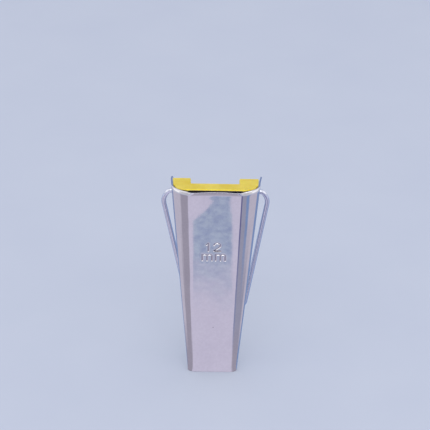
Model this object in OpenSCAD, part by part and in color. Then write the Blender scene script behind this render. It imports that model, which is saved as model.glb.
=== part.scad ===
// Bias tape maker: a folded sheet body, a moulded guide in its mouth and a wire handle.
// Millimetres. The tool stands on its narrow end with the sole facing -Y, the
// mouth up and the handle hanging behind it. The height s is counted down from the mouth edge.

/* [Folded body] */
// Length of the body from the mouth edge to the exit edge
body_len = 62.5; // [60:0.5:66]
// Outside width at the mouth
mouth_w = 26.0; // [25:0.25:27]
// Outside width at the exit
exit_w = 14.9; // [14.5:0.1:15.5]
// Depth of the side walls at the mouth
mouth_depth = 10.0; // [9.6:0.1:10.6]
// Depth over both layers at the exit
exit_depth = 3.0; // [2.9:0.1:3.3]
// Width of the flat sole at the mouth
sole_mouth_w = 15.4; // [14.5:0.1:16]
// Width of the flat sole at the exit
sole_exit_w = 11.4; // [11:0.1:11.8]
// Thickness of the sheet
sheet_t = 0.5; // [0.4:0.05:0.6]
// Width of the slot between the two flaps
slot_w = 2.2; // [1.6:0.1:3]
// Distance from the mouth at which the flaps have come in to the slot
fold_len = 31.0; // [28:0.5:34]

/* [Guide insert] */
// Height of the guide's end face over the mouth edge
guide_proud = 0.2; // [0:0.05:0.3]
// Room for the fabric between the sole and the guide
fabric_gap = 0.7; // [0.6:0.05:0.9]
// Room for the fabric beside the guide
side_gap = 0.6; // [0.5:0.05:0.8]
// Running gap between the side blocks and the walls
block_gap = 0.08; // [0.05:0.01:0.15]
// Inside width between the two side blocks
trough_w = 14.2; // [13.6:0.1:15]
// Length of the side blocks
block_len = 6.0; // [5.5:0.1:6.5]
// Thickness of the trough floor
floor_t = 1.2; // [1:0.05:1.3]
// Width of the rails
rail_w = 1.8; // [1.5:0.1:2.2]
// Length of the bar across the mouth
bar_len = 2.6; // [2:0.1:3]
// Depth of the bar's back face
bar_depth = 5.4; // [5:0.1:5.8]
// Distance from the mouth to the tongue's tip
tongue_end = 53.0; // [50:0.5:55]
// Width of the awl slot
awl_w = 2.4; // [2:0.1:3]

/* [Wire handle] */
// Diameter of the wire
wire_d = 1.4; // [1.3:0.05:1.5]
// Distance of the pivot below the mouth edge
pivot_down = 2.25; // [2.1:0.05:2.6]
// Distance of the pivot behind the sole
pivot_back = 5.3; // [5.1:0.05:5.5]
// Distance from the pivot to the middle of the handle's cross bar
handle_len = 43.0; // [41:0.5:45]
// Width over the two shoulders
handle_w = 31.7; // [31.6:0.05:32.4]
// Bend radius of the shoulders where they leave the walls, on the centre line
shoulder_r = 1.4; // [1.2:0.05:1.5]
// Angle through which that tight bend turns
shoulder_turn = 50; // [45:1:55]
// Bend radius of the rest of each shoulder, on the centre line
sweep_r = 4.85; // [4.5:0.05:5]
// Bend radius of the two lower corners, on the centre line
corner_r = 3.5; // [3:0.1:4]
// Angle at which each leg closes in
leg_close = 10.15; // [9.9:0.05:10.4]
// Sideways lean of the loop, from its bending by hand
leg_lean = 1.4; // [0:0.1:1.5]
// Backward angle at which the handle is drawn
rest_angle = 5.0; // [4:0.5:8]
// Radial clearance of the wire in the wall holes
hole_clear = 0.08; // [0.05:0.01:0.1]
// Radial clearance of the wire in the bores of the guide
bore_clear = 0.06; // [0.03:0.01:0.08]
// Half distance between the tips of the wire's inturned ends
pin_tip_x = 8.7; // [8.5:0.1:9.5]

/* [Hidden] */
// The tool's depth is centred on Y.
y_shift = -mouth_depth / 2;

function lerp(a, b, u) = a + (b - a) * u;
function clamp01(u) = min(1, max(0, u));
function smooth(u) = let (c = clamp01(u)) c * c * (3 - 2 * c);
function tt(s) = clamp01(s / body_len);

// --- Section of the sheet at a distance s from the mouth, half section with x > 0.
// Half width, flat half width, depth, depth of the shoulder curve, fold radius.
function hw(s) = lerp(mouth_w / 2, exit_w / 2, tt(s));
function hf(s) = lerp(sole_mouth_w / 2, sole_exit_w / 2, tt(s));
function dep(s) = exit_depth + (mouth_depth - exit_depth) * pow(1 - tt(s), 1.7);
function shd(s) = 1.4 + 2.4 * pow(1 - tt(s), 1.3);
function frad(s) = 1.25 + 1.3 * (1 - tt(s));
// Progress of the fold, the flap's inner edge, and the height at which the wall starts to roll in.
function fu(s) = clamp01(s / fold_len);
function tipx(s) = lerp(mouth_w / 2, slot_w / 2, fu(s));
function fy(s) = fu(s) < 1
    ? lerp(5.4, dep(fold_len) - frad(fold_len), fu(s))
    : dep(s) - frad(s);
// Roll angle and straight flap length from the tangent to the fold arc.
function fold_m(s) = norm([hw(s) - tipx(s) - frad(s), dep(s) - fy(s)]);
function roll(s) = max(0, acos(-frad(s) / fold_m(s)) - atan2(dep(s) - fy(s), hw(s) - tipx(s) - frad(s)));
function flap(s) = sqrt(max(0, pow(fold_m(s), 2) - pow(frad(s), 2)));
// The walls stand a little open at the mouth.
function flare(s, y) = 0.3 * (1 - smooth(s / 12)) * clamp01((y - 3.8) / 6);

// Shoulder curve: from the crease at the sole's edge round to the upright wall.
crease = 14;
function bez(a, b, c, d, u) = pow(1-u,3)*a + 3*u*pow(1-u,2)*b + 3*u*u*(1-u)*c + u*u*u*d;
function dbez(a, b, c, d, u) = 3*pow(1-u,2)*(b-a) + 6*u*(1-u)*(c-b) + 3*u*u*(d-c);
function sh_ctrl(s) = let (a = [hf(s), 0], d = [hw(s), shd(s)], lx = hw(s) - hf(s))
    [a, a + 0.52 * lx * [cos(crease), sin(crease)], d - [0, 0.58 * shd(s)], d];
// Point with its inward normal: [x, y, nx, ny].
function sh_pt(s, u) = let (c = sh_ctrl(s), p = bez(c[0], c[1], c[2], c[3], u),
    t = dbez(c[0], c[1], c[2], c[3], u), n = norm(t)) [p[0], p[1], -t[1] / n, t[0] / n];
// Wall, fold arc and flap as one line, v from 0 to 1.
function wall_pt(s, v) = let (a = roll(s), r = frad(s), w = hw(s),
    l1 = fy(s) - shd(s), l2 = r * a * PI / 180, l3 = flap(s), l = v * (l1 + l2 + l3),
    b = l2 > 0 ? clamp01((l - l1) / l2) * a : 0,
    e = max(0, l - l1 - l2))
    l < l1 ? [w, shd(s) + l, -1, 0]
           : [w - r * (1 - cos(b)) - e * sin(a), fy(s) + r * sin(b) + e * cos(a), -cos(b), -sin(b)];
function flared(s, p) = [p[0] + flare(s, p[1]), p[1]];

n_sh = 7;
n_wall = 13;
// Outer face and inner face of the right half, from the middle of the sole to the flap's edge.
function half_pts(s) = concat(
    [[0, 0, 0, 1], [hf(s) / 2, 0, 0, 1], [hf(s), 0, -sin(crease / 2), cos(crease / 2)]],
    [for (i = [1:n_sh]) sh_pt(s, i / n_sh)],
    [for (i = [1:n_wall]) wall_pt(s, i / n_wall)]);
function face_pts(s, off) = [for (p = half_pts(s)) flared(s, [p[0] + off * p[2], p[1] + off * p[3]])];
function mirrored(h) = concat([for (i = [len(h) - 1:-1:1]) [-h[i][0], h[i][1]]], h);
function reversed(a) = [for (i = [len(a) - 1:-1:0]) a[i]];

// Solid between an outer and an inner line, given at each height.
module channel(outer, inner, zs) {
    m = len(outer[0]);
    n = 2 * m;
    k = len(zs);
    pts = [for (j = [0:k - 1]) for (p = concat(outer[j], reversed(inner[j]))) [p[0], p[1], zs[j]]];
    side = [for (j = [0:k - 2]) for (i = [0:n - 1])
        let (a = j * n + i, b = j * n + (i + 1) % n, c = a + n, d = b + n)
        each [[a, b, d], [a, d, c]]];
    cap0 = [for (i = [0:m - 2]) let (a = i, b = i + 1, c = n - 2 - i, d = n - 1 - i)
        each [[a, c, b], [a, d, c]]];
    o = (k - 1) * n;
    cap1 = [for (i = [0:m - 2]) let (a = o + i, b = o + i + 1, c = o + n - 2 - i, d = o + n - 1 - i)
        each [[a, b, c], [a, c, d]]];
    polyhedron(points = pts, faces = concat(side, cap0, cap1), convexity = 10);
}

s_body = [0, 1.1, 2.25, 3.4, 4.8, 6.4, 8.2, 10.2, 12.4, 14.8, 17.2, 19.6, 22, 24.4, 26.6, 28.6,
          30, 31, 33, 36, 40, 45, 50, 55, 59, 62.5];

module folded_body() {
    color([0.76, 0.77, 0.81])
    translate([0, y_shift, 0])
    difference() {
        channel([for (s = s_body) mirrored(face_pts(s * body_len / 62.5, 0))],
                [for (s = s_body) mirrored(face_pts(s * body_len / 62.5, sheet_t))],
                [for (s = s_body) body_len - s * body_len / 62.5]);
        // Pivot holes in the two walls
        for (m = [-1, 1])
            translate([m * (mouth_w / 2 - 3), pivot_back, body_len - pivot_down])
                rotate([0, m * 90, 0])
                    cylinder(r = wire_d / 2 + hole_clear, h = 5, $fn = 32);
    }
}

// --- Guide insert: its sides follow the inner faces of the sheet.
function g_rail_s(s) = smooth((s - block_len) / 3);
// Offset line of the wall at a height y
function wall_x(s, y, off) = let (a = roll(s), r = frad(s) - off, w = hw(s) - off,
    ye = fy(s) + r * sin(a), xe = w - r * (1 - cos(a)))
    (y <= fy(s) ? w : y < ye ? w - r + sqrt(max(0, r * r - pow(y - fy(s), 2)))
                : xe - (y - ye) * tan(min(a, 80))) + flare(s, y);
function g_off(s) = sheet_t + side_gap;
// Back height of the blocks and rails, and of the floor
function g_rail_y(s) = min(dep(s) - 1.4, fy(s) + (frad(s) - g_off(s)) * sin(roll(s)));
function g_top(s) = lerp(dep(s) - 1.4, g_rail_y(s), g_rail_s(s));
function g_bot(s) = sheet_t + fabric_gap;
function g_floor(s) = min(g_bot(s) + floor_t, dep(s) - 1.4);
// The tongue's tip is rounded in plan.
function g_tip(s) = let (u = clamp01((s - (tongue_end - 5)) / 5)) 1 - 0.34 * (1 - sqrt(1 - u * u * 0.98));
// Side line: blocks close to the wall above the fabric's edge, rails clear of it.
function g_wall_off(s, y) = lerp(lerp(g_off(s), sheet_t + block_gap, smooth((y - 3.9) / 0.9)), g_off(s), g_rail_s(s));
function g_side(s, v) = let (y = lerp(shd(s) + 0.05, g_top(s), v)) [wall_x(s, y, g_wall_off(s, y)), y];
function g_sh(s, u) = let (p = sh_pt(s, u), o = lerp(g_bot(s), g_off(s), smooth(u * 2)))
    [p[0] + o * p[2], p[1] + o * p[3]];
n_gs = 6;
n_gw = 8;
function g_half_out(s) = let (raw = concat(
    [[0, g_bot(s)], [hf(s) * 0.5, g_bot(s)], [hf(s) - 0.35, g_bot(s)]],
    [for (i = [1:n_gs]) g_sh(s, i / n_gs)],
    [for (i = [1:n_gw]) g_side(s, i / n_gw)]))
    [for (p = raw) [p[0] * g_tip(s), min(p[1], g_top(s))]];
// Inner line: bar or trough floor, then up the inside of the block or rail.
function g_in_x(s) = lerp(trough_w / 2, wall_x(s, g_top(s), g_off(s)) - rail_w, g_rail_s(s)) * g_tip(s);
function g_in_y(s) = s < bar_len + 0.02 ? bar_depth : min(g_floor(s), g_top(s) - 0.22);
n_g = 3 + n_gs + n_gw;
n_fl = 11;
function g_half_in(s) = let (xi = g_in_x(s), yf = g_in_y(s), yt = g_top(s))
    [for (i = [0:n_g - 1])
        i < n_fl ? [xi * i / (n_fl - 1), yf]
                 : [xi, lerp(yf, yt, (i - n_fl + 1) / (n_g - n_fl))]];

s_guide = [-1, 0, 1.2, 2.6, 2.65, 3.4, 4.8, 6, 6.8, 7.6, 8.4, 9.2, 11, 13, 15, 17.5, 20, 22.5, 25,
           28, 31, 34, 37.5, 41, 44, 47, 48.5, 50, 51.2, 52.2, 52.8, 53];
function gs(s) = s < 0 ? -guide_proud : s == 2.6 ? bar_len : s == 2.65 ? bar_len + 0.05
    : s > 47 ? lerp(47, tongue_end, (s - 47) / 6) : s;

module guide_insert() {
    color([0.93, 0.82, 0.20])
    translate([0, y_shift, 0])
    difference() {
        channel([for (s = s_guide) mirrored(g_half_out(max(0, gs(s))))],
                [for (s = s_guide) mirrored(g_half_in(max(0, gs(s))))],
                [for (s = s_guide) body_len - gs(s)]);
        // Blind bores for the ends of the wire
        for (m = [-1, 1])
            translate([m * (pin_tip_x - 0.3), pivot_back, body_len - pivot_down])
                rotate([0, m * 90, 0])
                    cylinder(r = wire_d / 2 + bore_clear, h = 8, $fn = 32);
        // Awl slot through the floor
        for (z = [-9.5, -26])
            translate([0, sheet_t, body_len + z])
                rotate([-90, 0, 0])
                    cylinder(d = awl_w, h = 4, $fn = 32);
        translate([-awl_w / 2, sheet_t, body_len - 26])
            cube([awl_w, 4, 16.5]);
    }
}

// --- Wire handle, drawn hanging straight down from its pivot at the origin.
r_wire = wire_d / 2;
function leg_a(m) = leg_close - m * leg_lean;
// Where the inturned ends meet the shoulder bends
bend_x = handle_w / 2 - r_wire - shoulder_r * sin(shoulder_turn) - sweep_r * (1 - sin(shoulder_turn));

// Middle line of one side of the loop, from the inturned end out, down and in to the cross bar.
// Each point is [x, z, heading], and each bend turns it clockwise about a centre on its right.
function arc_pts(p, r, turn, n) = let (cx = p[0] + r * sin(p[2]), cz = p[1] - r * cos(p[2]))
    [for (i = [1:n]) let (h = p[2] - turn * i / n) [cx - r * sin(h), cz + r * cos(h), h]];
function ahead(p, d) = [p[0] + d * cos(p[2]), p[1] + d * sin(p[2]), p[2]];
function last(a) = a[len(a) - 1];
function side_pts(a) = let (
    p0 = [bend_x, 0, 0],
    b1 = arc_pts(p0, shoulder_r, shoulder_turn, 10),
    b2 = arc_pts(last(b1), sweep_r, 90 + a - shoulder_turn, 10),
    leg = (handle_len + last(b2)[1] - corner_r * (1 - sin(a))) / cos(a),
    p3 = ahead(last(b2), leg),
    b3 = arc_pts(p3, corner_r, 90 - a, 14))
    concat([p0], b1, b2, [p3], b3);
right_side = side_pts(leg_a(1));
left_side = side_pts(leg_a(-1));
// The loop is a little stouter where it takes over from the round inturned ends.
stout = 0.045;
function rad(i) = r_wire + (i < 2 ? stout : 0);
k_side = len(right_side);
loop = concat(
    [for (i = [0:k_side - 1]) concat(right_side[i], [rad(i)])],
    [for (i = [k_side - 1:-1:0]) let (p = left_side[i]) [-p[0], p[1], -360 - p[2], rad(i)]]);
n_side = 24;
module wire_loop() {
    k = len(loop);
    pts = [for (p = loop) for (i = [0:n_side - 1])
        let (q = 360 * i / n_side, c = p[3] * cos(q))
            [p[0] + c * sin(p[2]), p[3] * sin(q), p[1] - c * cos(p[2])]];
    side = [for (j = [0:k - 2]) for (i = [0:n_side - 1])
        let (a = j * n_side + i, b = j * n_side + (i + 1) % n_side, c = a + n_side, d = b + n_side)
            each [[a, c, d], [a, d, b]]];
    polyhedron(points = pts, faces = concat(side, [[for (i = [0:n_side - 1]) i]],
        [[for (i = [n_side - 1:-1:0]) (k - 1) * n_side + i]]), convexity = 6);
}

module wire_handle() {
    color([0.72, 0.73, 0.77])
    translate([0, pivot_back + y_shift, body_len - pivot_down])
        rotate([rest_angle, 0, 0]) {
            wire_loop();
            // Inturned ends, which are the hinge pins
            for (x = [pin_tip_x, -bend_x - 0.1])
                translate([x, 0, 0])
                    rotate([0, 90, 0])
                        cylinder(r = r_wire, h = bend_x + 0.1 - pin_tip_x, $fn = 32);
        }
}

folded_body();
guide_insert();
wire_handle();
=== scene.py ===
"""Looks of a bias tape maker: a folded sheet body, a moulded guide and a wire handle.

All lengths in the shape functions are millimetres in the tool's own frame: x to the right, y behind the
outside of the sole, s down from the mouth edge. place() turns them into metres in the row's frame.
"""
import math

import bmesh
import bpy
import numpy as np
from mathutils import Matrix, Vector


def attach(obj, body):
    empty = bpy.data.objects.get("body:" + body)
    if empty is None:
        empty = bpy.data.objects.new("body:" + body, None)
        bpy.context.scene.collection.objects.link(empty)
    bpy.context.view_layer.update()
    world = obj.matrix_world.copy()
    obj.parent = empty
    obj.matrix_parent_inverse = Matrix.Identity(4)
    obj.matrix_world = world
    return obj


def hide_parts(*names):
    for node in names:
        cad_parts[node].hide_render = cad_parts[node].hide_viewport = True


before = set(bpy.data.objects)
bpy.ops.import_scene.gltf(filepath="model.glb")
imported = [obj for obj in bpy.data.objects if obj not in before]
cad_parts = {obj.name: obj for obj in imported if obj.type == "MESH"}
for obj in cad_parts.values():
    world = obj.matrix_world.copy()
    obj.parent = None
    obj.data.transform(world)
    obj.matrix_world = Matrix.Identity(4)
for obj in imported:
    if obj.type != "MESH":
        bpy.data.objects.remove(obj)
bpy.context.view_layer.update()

# ---------------------------------------------------------------- sizes, as in the CAD source
BODY_LEN, MOUTH_W, EXIT_W, MOUTH_D, EXIT_D = 62.5, 26.0, 14.9, 10.0, 3.0
SOLE_MOUTH, SOLE_EXIT, SHEET, SLOT, FOLD = 15.4, 11.4, 0.5, 2.2, 31.0
PROUD, GAP, SIDE_GAP, BLOCK_GAP = 0.2, 0.7, 0.6, 0.08
TROUGH_W, BLOCK_LEN, FLOOR_T, RAIL_W = 14.2, 6.0, 1.2, 1.8
BAR_LEN, BAR_D, TONGUE, AWL_W = 2.6, 5.4, 53.0, 2.4
WIRE_R, PIVOT_S, PIVOT_Y = 0.7, 2.25, 5.3
HANDLE_LEN, HANDLE_W, CORNER_R, REST_ANGLE, PIN_X = 43.0, 31.7, 3.5, 5.0, 8.7
SHOULDER_R, SHOULDER_TURN, SWEEP_R, LEG_CLOSE, LEG_LEAN = 1.4, 50.0, 4.85, 10.15, 1.4
HOLE_R, BORE_R = 0.78, 0.76
CREASE = math.radians(14)


def place(x, y, s):
    """Metres in the row's frame."""
    return np.stack(np.broadcast_arrays(x, y - MOUTH_D / 2, BODY_LEN - s), -1) * 0.001


def lerp(a, b, u):
    return a + (b - a) * u


def clamp01(u):
    return np.clip(u, 0.0, 1.0)


def smooth(u):
    c = clamp01(u)
    return c * c * (3 - 2 * c)


def noise3(x, y, z, seed=0):
    """Smooth value noise from -1 to 1, the same on every run."""
    p = np.stack(np.broadcast_arrays(x, y, z), -1).astype(float)
    i = np.floor(p).astype(np.int64)
    f = p - i
    f = f * f * f * (f * (f * 6 - 15) + 10)
    total = 0.0
    for dx in (0, 1):
        for dy in (0, 1):
            for dz in (0, 1):
                h = (
                    (i[..., 0] + dx) * 374761393
                    + (i[..., 1] + dy) * 668265263
                    + (i[..., 2] + dz) * 2147483647
                    + seed * 1274126177
                ) & 0xFFFFFFFF
                h = ((h ^ (h >> 13)) * 1274126177) & 0xFFFFFFFF
                h = (h ^ (h >> 16)) & 0xFFFF
                v = h / 32767.5 - 1
                w = (
                    (f[..., 0] if dx else 1 - f[..., 0])
                    * (f[..., 1] if dy else 1 - f[..., 1])
                    * (f[..., 2] if dz else 1 - f[..., 2])
                )
                total = total + w * v
    return total


# ---------------------------------------------------------------- section of the folded sheet
def tt(s):
    return clamp01(s / BODY_LEN)


def hw(s):
    return lerp(MOUTH_W / 2, EXIT_W / 2, tt(s))


def hf(s):
    return lerp(SOLE_MOUTH / 2, SOLE_EXIT / 2, tt(s))


def dep(s):
    return EXIT_D + (MOUTH_D - EXIT_D) * (1 - tt(s)) ** 1.7


def shd(s):
    return 1.4 + 2.4 * (1 - tt(s)) ** 1.3


def frad(s):
    return 1.25 + 1.3 * (1 - tt(s))


def fu(s):
    return clamp01(s / FOLD)


def tipx(s):
    return lerp(MOUTH_W / 2, SLOT / 2, fu(s))


def fy(s):
    f0 = float(dep(np.array(FOLD)) - frad(np.array(FOLD)))
    return np.where(fu(s) < 1, lerp(5.4, f0, fu(s)), dep(s) - frad(s))


def fold_m(s):
    return np.hypot(hw(s) - tipx(s) - frad(s), dep(s) - fy(s))


def roll(s):
    a = np.arccos(np.clip(-frad(s) / fold_m(s), -1, 1)) - np.arctan2(
        dep(s) - fy(s), hw(s) - tipx(s) - frad(s)
    )
    return np.maximum(0, a)


def flap(s):
    return np.sqrt(np.maximum(0, fold_m(s) ** 2 - frad(s) ** 2))


def flare(s, y):
    return 0.3 * (1 - smooth(s / 12)) * clamp01((y - 3.8) / 6)


def shoulder(s, u):
    """Point and inward normal on the shoulder curve."""
    lx = hw(s) - hf(s)
    ax, ay = hf(s), 0 * s
    bx, by = ax + 0.52 * lx * math.cos(CREASE), 0.52 * lx * math.sin(CREASE)
    dx, dy = hw(s), shd(s)
    cx, cy = dx, dy - 0.58 * shd(s)
    v = 1 - u
    x = v**3 * ax + 3 * u * v * v * bx + 3 * u * u * v * cx + u**3 * dx
    y = v**3 * ay + 3 * u * v * v * by + 3 * u * u * v * cy + u**3 * dy
    tx = 3 * v * v * (bx - ax) + 6 * u * v * (cx - bx) + 3 * u * u * (dx - cx)
    ty = 3 * v * v * (by - ay) + 6 * u * v * (cy - by) + 3 * u * u * (dy - cy)
    n = np.hypot(tx, ty)
    return x, y, -ty / n, tx / n


def wall_length(s):
    return fy(s) - shd(s) + frad(s) * roll(s) + flap(s)


def wall(s, l):
    """Point and inward normal at a length l along the wall, fold and flap."""
    a, r, w = roll(s), frad(s), hw(s)
    l1 = fy(s) - shd(s)
    l2 = r * a
    b = np.where(l2 > 1e-9, clamp01((l - l1) / np.maximum(l2, 1e-9)), 0) * a
    e = np.maximum(0, l - l1 - l2)
    straight = l < l1
    x = np.where(straight, w, w - r * (1 - np.cos(b)) - e * np.sin(a))
    y = np.where(straight, shd(s) + l, fy(s) + r * np.sin(b) + e * np.cos(a))
    return x, y, np.where(straight, -1, -np.cos(b)), np.where(straight, 0, -np.sin(b))


CREASE_HALF = 0.24  # half width of the crease line, where the sole turns into the shoulder


def crease(s, q):
    """Small round from the flat sole into the shoulder."""
    lx = hw(s) - hf(s)
    u0 = CREASE_HALF / (3 * 0.52 * lx)
    bx, by, nx, ny = shoulder(s, u0)
    ax, ay = hf(s) - CREASE_HALF, 0 * s
    px, py = bx - by * ny / np.maximum(-nx, 1e-9), 0 * s
    v = 1 - q
    x = v * v * ax + 2 * q * v * px + q * q * bx
    y = v * v * ay + 2 * q * v * py + q * q * by
    tx = 2 * v * (px - ax) + 2 * q * (bx - px)
    ty = 2 * v * (py - ay) + 2 * q * (by - py)
    n = np.hypot(tx, ty)
    return x, y, -ty / n, tx / n


# Columns of the half section, from the middle of the sole to the flap's edge.
EDGE_R = 0.15  # rounding of the sheared edges
dense = [i * 0.0097 for i in range(63)]
COLS = [("sole", u) for u in dense]
COLS += [("sole", u) for u in np.linspace(dense[-1], 1, 8)[1:]]
COLS += [("crease", q) for q in np.linspace(0, 1, 7)[1:]]
COLS += [("shoulder", u) for u in np.linspace(0, 1, 23)[1:]]
COLS += [("wall", u) for u in np.linspace(0, 0.9, 27)[1:]]
COLS += [("wall", u) for u in np.linspace(0.9, 1, 6)[1:]]
ARC = [(30, 0), (60, 0), (90, 0), (90, 1), (60, 1), (30, 1)]
N_HALF = len(COLS)


# Loop round the whole section: outside from left edge to right edge, right edge, inside back, left edge.
def loop_items():
    out = []
    for side in (-1, 1):
        cols = list(reversed(COLS)) if side < 0 else COLS[1:]
        out += [(side, kind, v, 0.0, None) for kind, v in cols]
    right = [(1, "edge", 0, k, a) for a, k in ARC]
    inner = [(i[0], i[1], i[2], 1.0, None) for i in reversed(out)]
    left = [(-1, "edge", 0, k, a) for a, k in reversed(ARC)]
    return out, right, inner, left


OUT, RIGHT, INNER, LEFT = loop_items()
ITEMS = OUT + RIGHT + INNER + LEFT
M_OUT, N_LOOP = len(OUT), len(ITEMS)
SIDE = np.array([i[0] for i in ITEMS], float)
KIND = np.array([i[1] for i in ITEMS])
PARAM = np.array([i[2] for i in ITEMS], float)
LAYER = np.array([i[3] for i in ITEMS], float)
ANGLE = np.radians(np.array([0 if i[4] is None else i[4] for i in ITEMS], float))


def base_point(s, inset):
    """Point, inward normal, offset into the sheet and distance from the flap's edge, for every item."""
    x = np.zeros(N_LOOP)
    y, nx, ny = x.copy(), x.copy(), x + 1
    dl = x + 9
    m = KIND == "sole"
    x[m] = PARAM[m] * (hf(s[m]) - CREASE_HALF)
    for kind, fn in (("crease", crease), ("shoulder", None)):
        m = KIND == kind
        if fn is None:
            u0 = CREASE_HALF / (3 * 0.52 * (hw(s[m]) - hf(s[m])))
            x[m], y[m], nx[m], ny[m] = shoulder(s[m], u0 + (1 - u0) * PARAM[m])
        else:
            x[m], y[m], nx[m], ny[m] = fn(s[m], PARAM[m])
    m = (KIND == "wall") | (KIND == "edge")
    total = wall_length(s[m])
    l = PARAM[m] * (total - EDGE_R)
    e = (KIND == "edge")[m]
    l = np.where(e, total - EDGE_R * (1 - np.sin(ANGLE[m])), l)
    l = np.minimum(l, total - inset)
    x[m], y[m], nx[m], ny[m] = wall(s[m], l)
    dl[m] = total - l
    off = LAYER * SHEET
    e = KIND == "edge"
    arc = EDGE_R * (1 - np.cos(ANGLE))
    off = np.where(e & (LAYER == 0), arc, np.where(e, SHEET - arc, off))
    off = np.clip(off, inset, SHEET - inset)
    return x, y, nx, ny, off, dl


# ---------------------------------------------------------------- size mark, pressed into the sole
def arc_pts(cx, cy, rx, ry, a0, a1, n=14):
    return [
        (
            cx + rx * math.cos(math.radians(a)),
            cy - ry * math.sin(math.radians(a)),
        )
        for a in np.linspace(a0, a1, n)
    ]


def mark_strokes():
    """Centre lines of "12" over "mm", as (x, s)."""
    one = [(-2.42, 17.62), (-1.86, 16.98), (-1.86, 19.72)]
    two = arc_pts(0.74, 17.80, 0.92, 0.86, 170, -28) + [(-0.18, 19.62), (1.72, 19.66)]
    lines = [one, two]
    for x0 in (-3.62, 0.33):
        w, r = 1.42, 0.60
        for k in (0, 1):
            a = x0 + k * w
            lines.append(
                [(a, 22.9), (a, 21.3)]
                + arc_pts(a + w / 2, 21.45, w / 2, r, 180, 0, 12)
                + [(a + w, 22.9)]
            )
        lines.append([(x0, 20.86), (x0, 21.6)])
    return lines


MARK_W, MARK_D = 0.34, 0.20


def mark_depth(x, s):
    """How far the sheet is pressed in at (x, s)."""
    best = np.full(x.shape, 9.0)
    near = (np.abs(x) < 4.6) & (s > 16.2) & (s < 23.6)
    px, ps = x[near], s[near]
    d = np.full(px.shape, 9.0)
    for line in mark_strokes():
        for (ax, ay), (bx, by) in zip(line, line[1:]):
            vx, vy = bx - ax, by - ay
            t = clamp01(
                ((px - ax) * vx + (ps - ay) * vy) / max(vx * vx + vy * vy, 1e-9)
            )
            d = np.minimum(d, np.hypot(px - ax - t * vx, ps - ay - t * vy))
    best[near] = d
    groove = MARK_D * (1 - smooth((best - MARK_W / 2 + 0.13) / 0.26))
    dish = 0.012 * (1 - smooth((best - 0.2) / 0.6))
    return groove + dish


# ---------------------------------------------------------------- mesh helpers
def mesh_object(name, verts, faces, angle=32.0):
    me = bpy.data.meshes.new(name)
    me.from_pydata([tuple(v) for v in verts], [], faces)
    bm = bmesh.new()
    bm.from_mesh(me)
    bmesh.ops.remove_doubles(bm, verts=bm.verts, dist=2e-7)
    bmesh.ops.dissolve_degenerate(bm, dist=1e-7, edges=bm.edges)
    bmesh.ops.recalc_face_normals(bm, faces=bm.faces)
    if bm.calc_volume(signed=True) < 0:
        bmesh.ops.reverse_faces(bm, faces=bm.faces)
    bm.to_mesh(me)
    bm.free()
    me.polygons.foreach_set("use_smooth", [True] * len(me.polygons))
    me.set_sharp_from_angle(angle=math.radians(angle))
    ob = bpy.data.objects.new(name, me)
    bpy.context.scene.collection.objects.link(ob)
    return ob


def loft_faces(k, n, closed=True):
    """Quads between k rings of n points."""
    out = []
    for j in range(k - 1):
        for i in range(n if closed else n - 1):
            a, b = j * n + i, j * n + (i + 1) % n
            out.append((a, b, b + n, a + n))
    return out


def prism(name, outline, axis, lo, hi):
    """Closed prism over an outline of (a, b) pairs, used as a cutter. axis is 0 for x or 1 for y."""
    n = len(outline)
    verts = []
    for t, grow in lo + hi:
        for a, b in outline:
            a, b = a * (1 + grow[0]) + grow[2], b * (1 + grow[1]) + grow[3]
            verts.append((t, a, b) if axis == 0 else (a, t, b))
    k = len(lo) + len(hi)
    faces = loft_faces(k, n)
    faces.append(tuple(range(n)))
    faces.append(tuple(reversed(range((k - 1) * n, k * n))))
    return mesh_object(name, verts, faces)


def cut(ob, cutters):
    """Takes the cutters away from the object, and removes them."""
    for c in cutters:
        m = ob.modifiers.new("cut", "BOOLEAN")
        m.operation, m.solver, m.object = "DIFFERENCE", "EXACT", c
    dg = bpy.context.evaluated_depsgraph_get()
    me = bpy.data.meshes.new_from_object(ob.evaluated_get(dg))
    ob.modifiers.clear()
    old = ob.data
    ob.data = me
    me.name = ob.name
    bpy.data.meshes.remove(old)
    for c in cutters:
        data = c.data
        bpy.data.objects.remove(c)
        bpy.data.meshes.remove(data)
    return ob


def drill(name, x0, x1, radius, lip=None, turn=0.0):
    """Round cutter along x at the pivot, from x0 to x1. Given lip, it ends 0.3 mm past lip instead,
    widening by 0.46 mm over its last 0.46 mm, and x1 only sets its direction. turn shifts its points round by a part
    of their spacing."""
    n = 64
    cy, cz = PIVOT_Y - MOUTH_D / 2, BODY_LEN - PIVOT_S
    rings = [(x0, radius), (x1, radius)]
    if lip is not None:
        sg = 1 if x1 > x0 else -1
        rings = [(x0, radius), (lip - sg * 0.16, radius), (lip + sg * 0.3, radius + 0.46)]
    verts = []
    for x, r in rings:
        for k in range(n):
            a = 2 * math.pi * (k + turn) / n
            verts.append(
                (x * 0.001, (cy + r * math.cos(a)) * 0.001, (cz + r * math.sin(a)) * 0.001)
            )
    faces = loft_faces(len(rings), n)
    faces.append(tuple(range(n)))
    faces.append(tuple(reversed(range((len(rings) - 1) * n, len(rings) * n))))
    return mesh_object(name, verts, faces)


# ---------------------------------------------------------------- folded body
RIM = 0.17  # rounding of the rims, as the rings carry it


def rim_size(x, y):
    """Rounding of the mouth's outer edge: small on the flat sole, wide where the sheet is drawn round the corners."""
    corner = smooth((np.abs(x) - 6.6) / 1.6) * (1 - smooth((y - 2.6) / 2.2))
    return 0.05 + 0.30 * corner


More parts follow.
